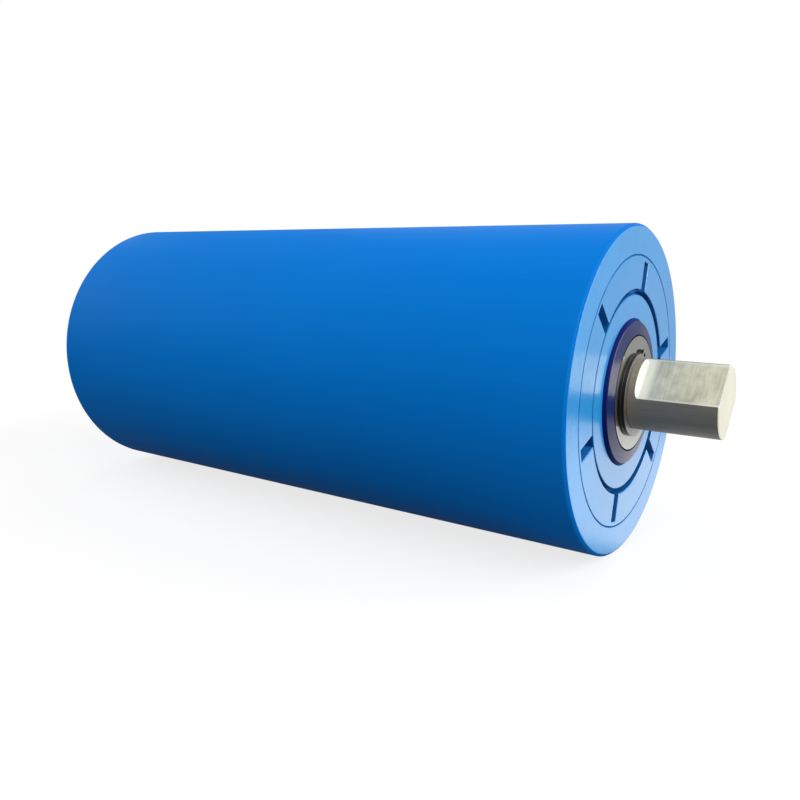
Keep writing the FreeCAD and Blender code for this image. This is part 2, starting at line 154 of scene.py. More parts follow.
def floorFinish(stage):
    material = bpy.data.materials.new("paleFloor")
    material.use_nodes = True
    tree = material.node_tree
    tree.nodes.clear()
    ray = addNode(tree, "ShaderNodeLightPath").outputs
    straight = straightRay(tree, ray)
    shown = addMath(tree, "MAXIMUM", straight, ray["Is Glossy Ray"])
    colour = mixColour(tree, shown, grey(stage["floorBounce"]), grey(stage["floorWhite"]))
    matt = addNode(tree, "ShaderNodeBsdfDiffuse", {"Color": colour}).outputs[0]
    spot = addNode(tree, "ShaderNodeTexCoord").outputs["Object"]
    away = addVectorMath(tree, "LENGTH", spot)["Value"]
    # near the roll the floor takes its shadow, and further off it is plain white
    near, far = stage["shadowReach"]
    fade = {"Value": away, "From Min": near, "From Max": far, "To Min": stage["floorGlow"], "To Max": 1.0}
    plain = addNode(tree, "ShaderNodeMapRange", fade, interpolation_type="SMOOTHSTEP").outputs[0]
    # in gloss it is white close behind the roll's ends, and dimmer everywhere else
    place = addNode(tree, "ShaderNodeSeparateXYZ", {0: spot}).outputs
    behind = between(tree, place["Y"], 0.0, 1.0, *stage["glossFront"])
    beyond = between(tree, addMath(tree, "ABSOLUTE", place["X"]), 0.0, 1.0, *stage["glossEnd"])
    lit = addMath(tree, "MAXIMUM", addMath(tree, "MULTIPLY", behind, beyond), stage["glossDim"])
    fall = between(tree, away, 1.0, stage["glossFar"], *stage["glossReach"])
    strength = mixValue(tree, straight, addMath(tree, "MULTIPLY", fall, lit), 1.0)
    glow = addNode(tree, "ShaderNodeEmission", {"Color": grey(1), "Strength": strength}).outputs[0]
    share = mixValue(tree, straight, ray["Is Glossy Ray"], plain)
    mixed = addNode(tree, "ShaderNodeMixShader", {0: share, 1: matt, 2: glow}).outputs[0]
    addNode(tree, "ShaderNodeOutputMaterial", {"Surface": mixed})
    return material


def makeFloor(stage):
    reach, level = stage["floorReach"], stage["floorLevel"]
    corners = [(-reach, -reach, level), (reach, -reach, level), (reach, reach, level), (-reach, reach, level)]
    mesh = bpy.data.meshes.new("floor")
    mesh.from_pydata(corners, [], [(0, 1, 2, 3)])
    mesh.materials.append(floorFinish(stage))
    floor = bpy.data.objects.new("floor", mesh)
    bpy.context.collection.objects.link(floor)


def makeRoom(stage):
    world = bpy.data.worlds.new("room")
    world.use_nodes = True
    tree = world.node_tree
    tree.nodes.clear()
    ray = addNode(tree, "ShaderNodeLightPath").outputs
    # in gloss the room is darker on the camera's side than behind the roll
    heading = addNode(tree, "ShaderNodeTexCoord").outputs["Generated"]
    away = addVectorMath(tree, "DOT_PRODUCT", heading, stage["roomBack"])["Value"]
    gloss = between(tree, away, stage["roomFront"], stage["roomBehind"], *stage["roomTurn"])
    dim = mixValue(tree, ray["Is Glossy Ray"], stage["roomLight"], gloss)
    strength = mixValue(tree, straightRay(tree, ray), dim, 1.0)
    light = addNode(tree, "ShaderNodeBackground", {"Color": grey(1), "Strength": strength}).outputs[0]
    addNode(tree, "ShaderNodeOutputWorld", {"Surface": light})
    bpy.context.scene.world = world


def makeLamp(name, lamp):
    # a soft panel that faces the middle of the roll
    data = bpy.data.lights.new(name, "AREA")
    data.shape = "RECTANGLE"
    data.size, data.size_y = lamp["size"]
    data.energy = lamp["power"]
    panel = bpy.data.objects.new(name, data)
    aim = Vector(lamp["place"]).to_track_quat("Z", "Y").to_matrix().to_4x4()
    panel.matrix_world = Matrix.Translation(lamp["place"]) @ aim
    panel.visible_glossy = lamp["mirrored"]
    bpy.context.collection.objects.link(panel)


makeCamera(camera)
makeFloor(studio)
makeRoom(studio)
for lampName, lamp in studio["lamps"].items():
    makeLamp(lampName, lamp)
bpy.context.scene.view_settings.view_transform = "Standard"
print("camera, floor and lamps set")

# Finishes. All patterns read Object coordinates, where X is the roll axis.
evenly = (1, 1, 1)
# the patterns' shares in colour and gloss, their relief and detail, the stretch of drawn marks, and how rough
# a coat is
polymerMix = {
    "mottle": 0.65, "marks": 0.35, "mottleGloss": 0.5, "grainGloss": 0.5,
    "markRelief": 0.6, "grainRelief": 0.5, "mottleDetail": 5.0, "grainDetail": 3.0,
    "drawn": (0.02, 1, 1), "coatRough": 0.2,
}
steelMix = {"stain": 0.5, "marks": 0.5, "markRelief": 0.5, "stainDetail": 5.0, "drawn": (0.03, 1, 1)}


def newFinish(name):
    material = bpy.data.materials.new(name)
    material.use_nodes = True
    tree = material.node_tree
    place = addNode(tree, "ShaderNodeTexCoord").outputs["Object"]
    return material, tree, tree.nodes["Principled BSDF"], place


def noise(tree, place, stretch, scale, detail=4.0):
    # stretch gives how fast the pattern changes along X, Y and Z
    moved = addVectorMath(tree, "MULTIPLY", place, stretch)[0]
    return addNode(tree, "ShaderNodeTexNoise", {"Vector": moved, "Scale": scale, "Detail": detail}).outputs[0]


def axisDistance(tree, place):
    flat = addVectorMath(tree, "MULTIPLY", place, (0, 1, 1))[0]
    return addVectorMath(tree, "LENGTH", flat)["Value"]


def middleDistance(tree, place):
    return addMath(tree, "ABSOLUTE", addNode(tree, "ShaderNodeSeparateXYZ", {0: place}).outputs["X"])


def ringNoise(tree, place, scale, detail=3.0):
    # fine rings round the roll axis, as a lathe leaves on a face
    inputs = {"W": axisDistance(tree, place), "Scale": scale, "Detail": detail}
    return addNode(tree, "ShaderNodeTexNoise", inputs, noise_dimensions="1D").outputs[0]


def toolMarks(tree, place, finish, drawn):
    # rings on a turned piece, and long lines along X on a drawn one
    if finish["turned"]:
        return ringNoise(tree, place, finish["marks"])
    return noise(tree, place, drawn, finish["marks"])


def tone(tree, factor, first, second, start=0.3, stop=0.7):
    ramp = addNode(tree, "ShaderNodeValToRGB", {"Fac": factor})
    low, high = ramp.color_ramp.elements
    low.position, high.position = start, stop
    low.color, high.color = (*first, 1), (*second, 1)
    return ramp.outputs["Color"]


def bump(tree, height, depth, strength, under=None):
    inputs = {"Height": height, "Distance": depth, "Strength": strength}
    if under:
        inputs["Normal"] = under
    return addNode(tree, "ShaderNodeBump", inputs).outputs["Normal"]


def polymerFinish(name, finish):
    # moulded or extruded polymer: slow mottling, drawn or turned marks, and a fine grain in the gloss
    mix = polymerMix
    material, tree, shader, place = newFinish(name)
    mottle = noise(tree, place, evenly, finish["mottle"], mix["mottleDetail"])
    marks = toolMarks(tree, place, finish, mix["drawn"])
    grain = noise(tree, place, evenly, finish["grain"], mix["grainDetail"])
    mixed = weighted(tree, (mottle, mix["mottle"]), (marks, mix["marks"]))
    sheen = weighted(tree, (grain, mix["grainGloss"]), (mottle, mix["mottleGloss"]))
    relief = bump(tree, marks, finish["markDepth"], mix["markRelief"])
    fillInputs(tree, shader, {
        "Base Color": tone(tree, mixed, finish["deep"], finish["light"]),
        "Roughness": between(tree, sheen, *finish["roughness"]),
        "Specular IOR Level": finish["specular"],
        "Coat Weight": finish.get("coat", 0.0),
        "Coat Roughness": finish.get("coatRough", mix["coatRough"]),
        "Normal": bump(tree, grain, finish["grainDepth"], mix["grainRelief"], relief),
    })
    return material


def steelFinish(name, finish):
    # bare steel: drawn along X, or turned in rings, with slow stains
    mix = steelMix
    material, tree, shader, place = newFinish(name)
    stain = noise(tree, place, evenly, finish["stain"], mix["stainDetail"])
    marks = toolMarks(tree, place, finish, mix["drawn"])
    mixed = weighted(tree, (stain, mix["stain"]), (marks, mix["marks"]))
    colour = tone(tree, mixed, finish["dark"], finish["bright"])
    if "paintedRimShade" in finish:
        # the ring's rim, between its two faces, is dark with painted shade
        back, front = (level * perMillimetre for level in finish["rimSpan"])
        fromMiddle = middleDistance(tree, place)
        onShadedRim = addMath(tree, "MULTIPLY", addMath(tree, "GREATER_THAN", fromMiddle, back),
                        addMath(tree, "LESS_THAN", fromMiddle, front))
        colour = mixColour(tree, onShadedRim, colour, tone(tree, mixed, *finish["paintedRimShade"]))
    fillInputs(tree, shader, {
        "Base Color": colour,
        "Metallic": 1.0,
        "Roughness": between(tree, mixed, *finish["roughness"]),
        "Normal": bump(tree, marks, finish["markDepth"], mix["markRelief"]),
    })
    return material


# Shapes. Places along the roll and radii are in millimetres, in the part's own frame.
fullTurn = np.linspace(0, 2 * np.pi, 240, endpoint=False)[None, :]
mergeDistance = 2e-7  # in metres


def roundOutline(corners, radii, steps=4):
    # A closed outline with its corners rounded. An arc touches both sides at radius / tan(half the corner's
    # angle) from the corner, and its points turn about a centre at radius / sin(half angle) along the
    # corner's bisector. One more point on each side, half a radius past the arc, keeps the flats flat in
    # smooth shading.
    corners, radii = np.array(corners, float), np.array(radii, float)[:, None]
    back = np.roll(corners, 1, 0) - corners
    ahead = np.roll(corners, -1, 0) - corners
    back /= np.linalg.norm(back, axis=1, keepdims=True)
    ahead /= np.linalg.norm(ahead, axis=1, keepdims=True)
    half = np.arccos(np.clip((back * ahead).sum(1, keepdims=True), -1, 1)) / 2
    reach = radii / np.tan(half)
    bisector = back + ahead
    bisector /= np.maximum(np.linalg.norm(bisector, axis=1, keepdims=True), 1e-9)
    centre = corners + bisector * radii / np.sin(half)
    first, last = corners + back * reach - centre, corners + ahead * reach - centre
    sweep = np.maximum(np.pi - 2 * half, 1e-6)[:, None]
    share = np.linspace(0, 1, steps + 1)[None, :, None]
    turned = np.sin((1 - share) * sweep) * first[:, None] + np.sin(share * sweep) * last[:, None]
    arcs = centre[:, None] + turned / np.sin(sweep)
    guards = np.stack([corners + back * (reach + radii / 2), corners + ahead * (reach + radii / 2)], 1)
    points = np.concatenate([guards[:, :1], arcs, guards[:, 1:]], 1)
    rounded = radii > 0
    kept = np.repeat(rounded, steps + 3, 1)
    kept[:, 0] = True
    points[:, 0] = np.where(rounded, points[:, 0], corners)
    return points[kept]


def ringSurface(along, radius, turn, side=1):
    # A section carried round the roll axis: each point is (along, -radius cos turn, radius sin turn).
    # Rows go round the section and columns round the axis. The left end is the right one turned half round Z.
    along, radius, turn = np.broadcast_arrays(along, radius, turn)
    points = np.stack([along * side, -radius * np.cos(turn) * side, radius * np.sin(turn)], -1)
    rows, columns = radius.shape
    index = np.arange(rows * columns).reshape(rows, columns)
    beside, below = np.roll(index, -1, 1), np.roll(index, -1, 0)
    faces = np.stack([index, beside, np.roll(below, -1, 1), below], -1).reshape(-1, 4)
    return points.reshape(-1, 3), faces


def addPiece(name, surface, body, node, finishes, sharp=40):
    # The volume under all faces tells whether they point outwards. Points that fall together are merged.
    points, faces = surface
    fan = points[faces]
    slants = np.cross(fan[:, 1], fan[:, 2]) + np.cross(fan[:, 2], fan[:, 3])
    if np.einsum("ij,ij->i", fan[:, 0], slants).sum() < 0:
        faces = faces[:, ::-1]
    mesh = bpy.data.meshes.new(name)
    mesh.from_pydata((points * perMillimetre).tolist(), [], faces.tolist())
    work = bmesh.new()
    work.from_mesh(mesh)
    bmesh.ops.remove_doubles(work, verts=work.verts, dist=mergeDistance)
    work.to_mesh(mesh)
    work.free()
    for finish in finishes:
        mesh.materials.append(finish)
    mesh.shade_smooth()
    mesh.set_sharp_from_angle(angle=np.radians(sharp))
    piece = bpy.data.objects.new(name, mesh)
    bpy.context.collection.objects.link(piece)
    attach(piece, body)
    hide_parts(node)
    print("made", name, len(mesh.polygons), "faces")
    return piece


def facePlaces(piece):
    # how far each face lies from the roll's middle, and from its axis
    centres = np.empty(len(piece.data.polygons) * 3)
    piece.data.polygons.foreach_get("center", centres)
    centres = centres.reshape(-1, 3) * perMetre
    return np.abs(centres[:, 0]), np.hypot(centres[:, 1], centres[:, 2])


def paintFaces(piece, numbers):
    # which of the piece's finishes each face gets
    piece.data.polygons.foreach_set("material_index", numbers.astype(np.int32))


# Tube: a thick polymer pipe, counterbored at each end for the cap, its outer edges broken
shellTube = {
    "radius": 70.0, "end": 150.0, "edge": 1.2, "edgeRound": 0.7,
    "mouth": 57.3, "mouthRound": 0.4, "bore": 56.0, "seat": 114.0,
    "rings": (-0.75, -0.5, -0.25, 0.0, 0.25, 0.5, 0.75),  # rows along the side, in shares of half its length
    # the broken edge's finish starts this far before the edge and stops this far short of the face
    "sideMargin": 0.2, "faceMargin": 0.05,
    "side": {
        "deep": (0.0006, 0.172, 0.618), "light": (0.0010, 0.198, 0.690), "mottle": 9.0,
        "marks": 420.0, "turned": False, "markDepth": 0.00004, "grain": 1400.0, "grainDepth": 0.00003,
        "roughness": (0.42, 0.55), "specular": 0.02,
    },
    "cut": {
        "deep": (0.0015, 0.255, 0.650), "light": (0.0030, 0.305, 0.735), "mottle": 30.0,
        "marks": 2600.0, "turned": True, "markDepth": 0.00002, "grain": 5000.0, "grainDepth": 0.000001,
        "roughness": (0.24, 0.32), "specular": 1.0, "coat": 1.0, "coatRough": 0.24,
    },
    "bevel": {
        "deep": (0.0005, 0.130, 0.470), "light": (0.0008, 0.150, 0.530), "mottle": 9.0,
        "marks": 420.0, "turned": True, "markDepth": 0.00002, "grain": 1400.0, "grainDepth": 0.00001,
        "roughness": (0.45, 0.55), "specular": 0.02,
    },
}
# The fine joint between tube and cap and the hub's edge are dull and darker, with painted shade
seamShade = {
    "deep": (0.0010, 0.110, 0.330), "light": (0.0018, 0.140, 0.400), "mottle": 40.0,
    "marks": 1500.0, "turned": True, "markDepth": 0.00002, "grain": 1400.0, "grainDepth": 0.00001,
    "roughness": (0.55, 0.65), "specular": 0.1,
}
paintedSeamShade = polymerFinish("paintedShadeBlueSeam", seamShade)


def makeShell(tube):
    # The section runs along the outside, round one end into the bore, and back through the other end.
    end, edge, radius, mouth = (tube[key] for key in ("end", "edge", "radius", "mouth"))
    seat, bore = tube["seat"], tube["bore"]
    half = [(end - edge, radius), (end, radius - edge), (end, mouth), (seat, mouth), (seat, bore)]
    rounds = [tube["edgeRound"], tube["edgeRound"], tube["mouthRound"], 0, 0]
    run = [(end * share, radius) for share in tube["rings"]]
    outline = run + half + [(-along, across) for along, across in half[::-1]]
    section = roundOutline(outline, [0] * len(run) + rounds + rounds[::-1])
    surface = ringSurface(section[:, :1], section[:, 1:], fullTurn)
    finishes = [polymerFinish("satinBlueTube", tube["side"]), polymerFinish("cutBlueTube", tube["cut"]),
                polymerFinish("brokenBlueEdge", tube["bevel"]), paintedSeamShade]
    piece = addPiece("tubeShell", surface, "roll", "shell_tube", finishes)
    out, across = facePlaces(piece)
    onSide = out < end - edge - tube["sideMargin"]
    atMouth = (across < mouth + tube["mouthRound"]) & (out < end)
    onBevel = out < end - tube["faceMargin"]
    # the mouth's rounding, at the joint with the cap, is dull and darker with painted shade
    paintFaces(piece, np.select([onSide, atMouth, onBevel], [0, 3, 2], 1))


makeShell(shellTube)

# End cap: a moulded housing with a ring groove and six slots in its face, and twelve ribs behind it
endCap = {
    "front": 150.0, "radius": 57.3, "back": 114.0, "rimInner": 53.3, "webBack": 142.0,
    "hubOuter": 37.0, "hubBack": 117.0, "hubFace": 149.3, "bevel": 0.4,
    "stop": 27.0, "bearingBack": 125.0, "seat": 31.0,
    "grooveInner": 41.3, "grooveOuter": 43.4, "grooveFloor": 145.5,
    "slots": 6, "slotAngle": 43.0, "slotWidth": 5.2, "slotStop": 55.3,
    "ribs": 12, "ribThickness": 3.0, "ribRise": 10.0, "lip": 0.4, "root": 0.4,
    # rows and columns beside a slot's wall, then the wall's foot: places before it and rises over the floor
    "wallLines": (-0.5, -0.2, -0.1),
    "footPlaces": (-0.5, -0.35, -0.2, -0.1), "footRises": (0.0, 0.03, 0.15, 0.4),
    # the rounding at the wall's top: places past it and drops under the face, in shares of the lip
    "lipPlaces": (0.0, 0.2, 0.5, 1.0), "lipDrops": (1.0, 0.4, 0.13, 0.0),
    # a rib's root: places past its side, and shares of its height there
    "ribPlaces": (0.0, 0.15, 0.45, 0.9), "ribShares": (1.0, 0.12, 0.03, 0.0),
    # columns between slots and ribs, in degrees from a slot
    "plainTurns": (-30, -26.5, -23, -20, -8.5, 8.5, 22.5, 25, 27.5),
    # for comparing places, and how far inside the groove's outer wall the slots begin
    "slack": 0.01, "slotInto": 0.6,
    # the recess finish, matt and darker with painted shade, reaches this far inside the groove and behind its
    # floor, and stops this share of the lip below the face
    "grooveMargins": (0.05, 0.1, 0.7),
    "finish": {
        "deep": (0.0015, 0.255, 0.645), "light": (0.0030, 0.303, 0.730), "mottle": 24.0,
        "marks": 1500.0, "turned": True, "markDepth": 0.00002, "grain": 1100.0, "grainDepth": 0.000003,
        "roughness": (0.17, 0.26), "specular": 1.0, "coat": 1.0,
    },
    # the groove's and the slots' finish: a matt, duller moulding, and a darker blue that is painted shade
    "shadedRecess": {
        "deep": (0.0008, 0.094, 0.305), "light": (0.0015, 0.124, 0.385), "mottle": 24.0,
        "marks": 1500.0, "turned": True, "markDepth": 0.00002, "grain": 1100.0, "grainDepth": 0.00001,
        "roughness": (0.42, 0.52), "specular": 0.3,
    },
}


def fromNearest(turns, step):
    # the turn from the nearest of lines that repeat every step, in degrees
    return (turns + step / 2) % step - step / 2


def capColumns(cap):
    # Columns round one slot: a turn from the slot's middle line, and a distance across that stays the same at
    # every radius, so that the slot's and the ribs' sides are straight and parallel. One more column lies
    # halfway to the wall, and one past the lip.
    half, lip, rib = cap["slotWidth"] / 2, cap["lip"], cap["ribThickness"] / 2
    wallLines = half + np.array(cap["wallLines"])
    lipLines = half + lip * np.array(cap["lipPlaces"])
    across = np.concatenate([[half * 0.5], wallLines, lipLines, [half + 2 * lip]])
    slotAcross = np.concatenate([-across[::-1], [0], across])
    ribSide = rib + np.array(cap["ribPlaces"])
    ribAcross = np.concatenate([-ribSide[::-1], [0], ribSide])
    ribTurns = fromNearest(np.arange(2) * 360 / cap["ribs"] - cap["slotAngle"], 360 / cap["slots"])
    plain = np.array(cap["plainTurns"])
    turns = np.concatenate([np.zeros(len(slotAcross)), np.repeat(ribTurns, len(ribAcross)), plain])
    offsets = np.concatenate([slotAcross, np.tile(ribAcross, 2), np.zeros(len(plain))])
    order = np.argsort(turns + np.degrees(np.arcsin(offsets / cap["seat"])))
    return turns[order], offsets[order]


def capSection(cap):
    # The section's corners with their roundings, from the rim round the back and the bore to the face, which
    # ends with rows close to the slots' outer ends.
    front, lip, root = cap["front"], cap["lip"], cap["root"]
    slotEnd = [cap["slotStop"] + place for place in (-1.0, *cap["wallLines"])]
    slotEnd += [cap["slotStop"] + lip * place for place in cap["lipPlaces"]]
    outline = np.array([
        (front, cap["radius"], lip), (cap["back"], cap["radius"], root), (cap["back"], cap["rimInner"], root),
        (cap["webBack"], cap["rimInner"], 0), (cap["webBack"], cap["hubOuter"], 0),
        (cap["hubBack"], cap["hubOuter"], root), (cap["hubBack"], cap["stop"], root),
        (cap["bearingBack"], cap["stop"], root), (cap["bearingBack"], cap["seat"], 0),
        (cap["hubFace"] - cap["bevel"], cap["seat"], 0), (cap["hubFace"], cap["seat"] + cap["bevel"], 0),
        (cap["hubFace"], cap["grooveInner"], lip), (cap["grooveFloor"], cap["grooveInner"], root),
        (cap["grooveFloor"], cap["grooveOuter"], root), (front, cap["grooveOuter"], lip),
        *[(front, radius, 0) for radius in slotEnd],
    ])
    section = roundOutline(outline[:, :2], outline[:, 2])
    return section[:, :1], section[:, 1:]


def makeCap(cap, end, side):
    front, lip, slack = cap["front"], cap["lip"], cap["slack"]
    along, radius = capSection(cap)
    turns, offsets = capColumns(cap)
    pitch = 360 / cap["slots"]
    turns = (turns[None] + pitch * np.arange(cap["slots"])[:, None]).ravel()
    offsets = np.tile(offsets, cap["slots"])
    lean = np.arcsin(offsets[None] / radius)
    turn = np.radians(cap["slotAngle"] + turns)[None] + lean

    # A slot sinks the face by the smaller of two drops: one across the slot, one along it to its outer end.
    # Each drop is full on the floor, and has a small root, a steep wall and a rounded lip at the face.
    depth = front - cap["grooveFloor"]
    places = [*cap["footPlaces"], *[lip * place for place in cap["lipPlaces"]]]
    drops = [*[depth - rise for rise in cap["footRises"]], *[lip * drop for drop in cap["lipDrops"]]]
    fromSlot = np.abs(radius * np.sin(np.radians(fromNearest(turns, pitch))[None] + lean))
    acrossDrop = np.interp(fromSlot - cap["slotWidth"] / 2, places, drops)
    alongDrop = np.interp(radius - cap["slotStop"], places, drops)
    onFace = (along > cap["grooveFloor"] - slack) & (radius > cap["grooveOuter"] - cap["slotInto"])
    sunk = np.minimum(along, front - np.minimum(acrossDrop, alongDrop))
    shaped = np.where(onFace, sunk, along)

    # A rib fills the back from the web to a line that rises from the hub's tail to the rim.
    fromRib = fromNearest(cap["slotAngle"] + turns, 360 / cap["ribs"])
    ribAcross = np.abs(radius * np.sin(np.radians(fromRib)[None] + lean))
    ribShare = np.interp(ribAcross - cap["ribThickness"] / 2, cap["ribPlaces"], cap["ribShares"])
    inner, outer = cap["hubOuter"], cap["rimInner"]
    ribLine = cap["hubBack"] + cap["ribRise"] * (radius - inner) / (outer - inner)
    behind = (along < cap["webBack"] + slack) & (radius > inner - slack) & (radius < outer + slack)
    shaped = np.where(behind, shaped + (np.minimum(shaped, ribLine) - shaped) * ribShare, shaped)
    surface = ringSurface(shaped, radius, turn, side)
    finishes = [capBlue, paintedSeamShade, capRecessShade]
    piece = addPiece(f"cap_{end}", surface, "roll", f"end_cap_{end}", finishes)

    # the joint with the tube and the hub's edge are dull and darker with painted shade, and the groove and
    # the slots have the recess finish, also darker with painted shade
    out, across = facePlaces(piece)
    pastHub, underFloor, lipShare = cap["grooveMargins"]
    atJoint = (across > cap["radius"] - lip) & (out > front - lip)
    atHub = (np.abs(across - cap["grooveInner"]) < lip) & (out > cap["hubFace"] - lip)
    atHub &= out < cap["hubFace"] - slack
    inGroove = (across > cap["grooveInner"] - pastHub) & (across < cap["slotStop"] + lip)
    inGroove &= (out > cap["grooveFloor"] - underFloor) & (out < front - lip * lipShare)
    paintFaces(piece, np.select([atJoint | atHub, inGroove], [1, 2], 0))


capBlue = polymerFinish("mouldedBlueCap", endCap["finish"])
# the recess finish darkens the groove and the slots with painted shade
capRecessShade = polymerFinish("paintedShadeRecessCap", endCap["shadedRecess"])
for end, side in ends.items():
    makeCap(endCap, end, side)

# Dark seal ring in the cap's mouth, with the fin that runs in the labyrinth
sealRing = {
    "outline": [(141.0, 28.4, 0.2), (141.0, 31.0, 0.3), (149.3, 31.0, 0), (150.8, 30.0, 0.25),
                (152.0, 24.6, 0.2), (144.0, 24.6, 0.15), (144.0, 25.7, 0.15), (149.5, 25.7, 0.2),
                (149.5, 28.4, 0.2)],
    "sideFrom": 30.05,
    "flank": {
        "deep": (0.0004, 0.004, 0.075), "light": (0.0008, 0.008, 0.130), "mottle": 60.0,
        "marks": 3000.0, "turned": True, "markDepth": 0.00002, "grain": 1800.0, "grainDepth": 0.000004,
        "roughness": (0.5, 0.6), "specular": 0.1,
    },
    "finish": {
        "deep": (0.0005, 0.007, 0.060), "light": (0.0015, 0.013, 0.105), "mottle": 60.0,
        "marks": 3000.0, "turned": True, "markDepth": 0.00002, "grain": 1800.0, "grainDepth": 0.000004,
        "roughness": (0.21, 0.29), "specular": 0.7,
    },
}

# Bright pressed cover inside the dark ring, its rim turned back and dark with painted shade
dustCover = {
    "outline": [(151.0, 15.0, 0.1), (152.0, 15.0, 0.1), (152.0, 24.2, 0.15),
                (148.5, 24.2, 0.2), (148.5, 23.2, 0.2), (151.0, 23.2, 0.5)],
    "sideFrom": 23.95,
    # the rim's finish: dark steel that is painted shade
    "flank": {
        "dark": (0.02, 0.02, 0.025), "bright": (0.05, 0.05, 0.055), "stain": 70.0,
        "marks": 2200.0, "turned": True, "markDepth": 0.00001, "roughness": (0.35, 0.45),
    },
    "finish": {
        "dark": (0.52, 0.53, 0.50), "bright": (0.71, 0.725, 0.68), "stain": 70.0,
        "marks": 2200.0, "turned": True, "markDepth": 0.00001, "roughness": (0.1, 0.17),
    },
}


def makeTurned(piece, name, side, body, node, finishes):
    # An outline of (along, radius, rounding) carried round the axis. The second finish goes on the outer
    # side, which lies farther out than the front's edge.
    outline = np.array(piece["outline"])
    section = roundOutline(outline[:, :2], outline[:, 2])
    surface = ringSurface(section[:, :1], section[:, 1:], fullTurn, side)
    made = addPiece(name, surface, body, node, finishes)
    across = facePlaces(made)[1]
    paintFaces(made, across > piece["sideFrom"])


sealNavy = polymerFinish("navySealPolymer", sealRing["finish"])
sealFlank = polymerFinish("mattSealPolymer", sealRing["flank"])
coverSteel = steelFinish("platedCoverSteel", dustCover["finish"])
# the cover's rim is dark with painted shade
coverRimShade = steelFinish("paintedShadeCoverRim", dustCover["flank"])
for end, side in ends.items():
    makeTurned(sealRing, f"sealRing_{end}", side, "roll", f"labyrinth_cap_ring_{end}",
               [sealNavy, sealFlank])
    makeTurned(dustCover, f"dustCover_{end}", side, "shaft", f"dust_cover_{end}",
               [coverSteel, coverRimShade])

# Shaft: drawn bar with grooves for the retaining rings and two milled flats at each end
shaftBar = {
    "radius": 15.0, "tip": 189.0, "edge": 0.4, "edgeEase": 0.2, "shoulder": 156.5,
    "flat": 11.0, "flatTurn": 45.0, "root": 2.0, "rootTurns": (0, 20, 40, 60, 75, 90),
    "grooves": [(123.4, 125.0), (152.0, 153.6)], "grooveRadius": 14.3,
    # how far the walls of a groove, of a shoulder and of the tip lean along X
    "grooveWall": 0.01, "shoulderWall": 0.0005, "tipStep": 0.001,
    # a row this far before the tip's edge, and the radii of rows on the tip
    "tailRing": 8.0, "tipRings": (8.0, 2.0, 0.0),
    # columns over half of a flat and over half of the round beside it, and the angle of a sharp edge
    "flatColumns": 12, "roundColumns": 14, "sharp": 30,
    "finish": {
        "drawn": ((0.22, 0.195, 0.155), (0.315, 0.282, 0.226)), "drawnRough": (0.5, 0.62), "drawnMetal": 0.5,
        "milled": ((0.44, 0.43, 0.335), (0.79, 0.765, 0.595)), "milledRough": (0.3, 0.42),
        "milledRamp": (0.36, 0.64),
        # the pale tone of the painted highlight, and its metallic share
        "paintedHighlight": ((0.80, 0.79, 0.645), (0.90, 0.885, 0.74)), "facedMetal": 0.35,
        "streaks": 900.0, "streakStretch": (0.03, 1, 1), "stain": 45.0, "stainDetail": 5.0,
        "passes": 1300.0, "passStretch": (1, 0.08, 0.08), "passDetail": 2.0,
        "scuffs": 170.0, "scuffDetail": 6.0, "markDepth": 0.00002, "markRelief": 0.5,
        # shares of streaks and stain, and of scuffs, stain and passes
        "drawnShares": (0.6, 0.4), "milledShares": (0.45, 0.3, 0.25),
        # the run-out's painted highlight: its fade past the shoulder and how ragged it is; then the radii and
        # strength of the painted highlight on the flats' long edges
        "brightRun": (3.8, 6.4), "ragged": 3.0, "brightEdge": (14.2, 14.9), "edgeShare": 0.6,
        # the share of the tip's bevel that takes the painted highlight, and the skin that counts as the round
        # and the shoulder
        "tipShare": 0.8, "roundSkin": 0.04, "shoulderSkin": 0.01,
    },
}


